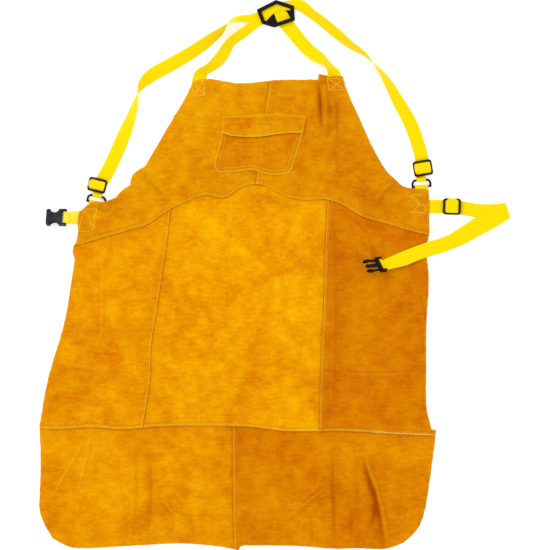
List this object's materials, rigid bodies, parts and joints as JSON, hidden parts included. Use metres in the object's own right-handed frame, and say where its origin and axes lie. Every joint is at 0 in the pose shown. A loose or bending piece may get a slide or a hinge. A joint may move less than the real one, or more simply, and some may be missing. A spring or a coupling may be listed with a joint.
{
  "type": "welding apron",
  "caption": "Split-leather bib apron for welding, laid flat, with cross-back yellow webbing harness, flap chest pocket and side-release buckle waist strap.",
  "frame": {"origin": "on the surface the apron lies on, under the middle of its overall bounding box", "axes": "+X to the right of the laid-out apron, +Y up towards the neck, +Z out of the surface, off the apron's outer face"},
  "size_m": [0.8728, 1.017, 0.0385],
  "materials": {
    "leather_bib": "matt suede split leather, golden orange",
    "leather_skirt_left": "matt suede split leather, golden orange",
    "leather_skirt_centre": "matt suede split leather, lighter golden orange",
    "leather_skirt_right": "matt suede split leather, deeper orange",
    "leather_pocket": "matt suede split leather, golden orange",
    "fastener_loop": "fuzzy loop tape",
    "fastener_hook": "hook tape",
    "webbing": "bright yellow woven webbing with a ribbed face",
    "black_plastic": "semi-gloss moulded black plastic",
    "black_ring": "black coated ring"
  },
  "bodies": {
    "apron": {"bib_left": "leather_bib", "bib_right": "leather_bib", "skirt_left": "leather_skirt_left", "skirt_right": "leather_skirt_right", "skirt_centre": "leather_skirt_centre", "hem_band_left": "leather_skirt_left", "hem_band_right": "leather_skirt_right", "chest_pocket": "leather_pocket", "flap_sewn_edge": "leather_pocket", "pocket_loop_patch": "fastener_loop", "shoulder_strap_a": "webbing", "shoulder_strap_b": "webbing", "hip_tab_left": "webbing", "hip_tab_right": "webbing", "waist_stub": "webbing", "waist_strap_inner": "webbing"},
    "flap": {"pocket_flap": "leather_pocket", "flap_hook_patch": "fastener_hook"},
    "ring_left": {"d_ring_left": "black_ring", "shoulder_strap_a_end": "webbing"},
    "ring_right": {"d_ring_right": "black_ring", "shoulder_strap_b_end": "webbing"},
    "glide_left": {"tri_glide_left": "black_plastic", "tri_glide_webbing_left": "webbing"},
    "glide_right": {"tri_glide_right": "black_plastic", "tri_glide_webbing_right": "webbing"},
    "glide_waist": {"tri_glide_waist": "black_plastic", "tri_glide_webbing_waist": "webbing"},
    "cross_slider": {"cross_slider_frame": "black_plastic", "cross_slider_back": "black_plastic"},
    "waist_tail": {"waist_strap_tail": "webbing"},
    "plug": {"buckle_plug": "black_plastic"},
    "prong_upper": {"buckle_prong_upper": "black_plastic"},
    "prong_lower": {"buckle_prong_lower": "black_plastic"},
    "socket": {"buckle_socket": "black_plastic"}
  },
  "joints": [
    {"name": "flap_fold", "type": "hinge", "parent": "apron", "child": "flap", "pos_m": [-0.02, 0.288, 0.0061], "axis": [-1, 0, 0], "range_deg": [0, 165]},
    {"name": "ring_left_swing", "type": "hinge", "parent": "apron", "child": "ring_left", "pos_m": [-0.331, 0.134, 0.00355], "axis": [0.9781, -0.2079, 0], "range_deg": [0, 40]},
    {"name": "ring_right_swing", "type": "hinge", "parent": "apron", "child": "ring_right", "pos_m": [0.271, 0.1635, 0.00355], "axis": [0.9976, 0.0698, 0], "range_deg": [0, 40]},
    {"name": "glide_left_slide", "type": "slide", "parent": "ring_left", "child": "glide_left", "axis": [0.4472, 0.8944, 0], "range_m": [0, 0.035]},
    {"name": "glide_right_slide", "type": "slide", "parent": "ring_right", "child": "glide_right", "axis": [-0.1504, 0.9886, 0], "range_m": [0, 0.04]},
    {"name": "glide_waist_slide", "type": "slide", "parent": "apron", "child": "glide_waist", "axis": [1, 0, 0], "range_m": [-0.01, 0.022]},
    {"name": "cross_slider_play", "type": "slide", "parent": "apron", "child": "cross_slider", "axis": [0, 1, 0], "range_m": [-0.0005, 0.0005]},
    {"name": "waist_fold", "type": "hinge", "parent": "apron", "child": "waist_tail", "pos_m": [0.427, 0.134, 0.00145], "axis": [-0.306, 0.952, 0], "range_deg": [0, 160]},
    {"name": "plug_swing", "type": "hinge", "parent": "waist_tail", "child": "plug", "pos_m": [0.1975, 0.0195, 0.0145], "axis": [-0.3584, 0.7686, -0.5299], "range_deg": [-10, 45]},
    {"name": "prong_upper_flex", "type": "hinge", "parent": "plug", "child": "prong_upper", "pos_m": [0.18516, 0.0266, 0.01314], "axis": [0.2828, 0.6303, 0.723], "range_deg": [0, 8], "stiffness_Nm_per_rad": 0.05},
    {"name": "prong_lower_flex", "type": "hinge", "parent": "plug", "child": "prong_lower", "pos_m": [0.19276, 0.0103, 0.02437], "axis": [-0.2828, -0.6303, -0.723], "range_deg": [0, 8], "stiffness_Nm_per_rad": 0.05},
    {"name": "socket_swing", "type": "hinge", "parent": "apron", "child": "socket", "pos_m": [-0.388, 0.106, 0.0136], "axis": [0.0328, 0.9391, -0.342], "range_deg": [0, 60]}
  ]
}
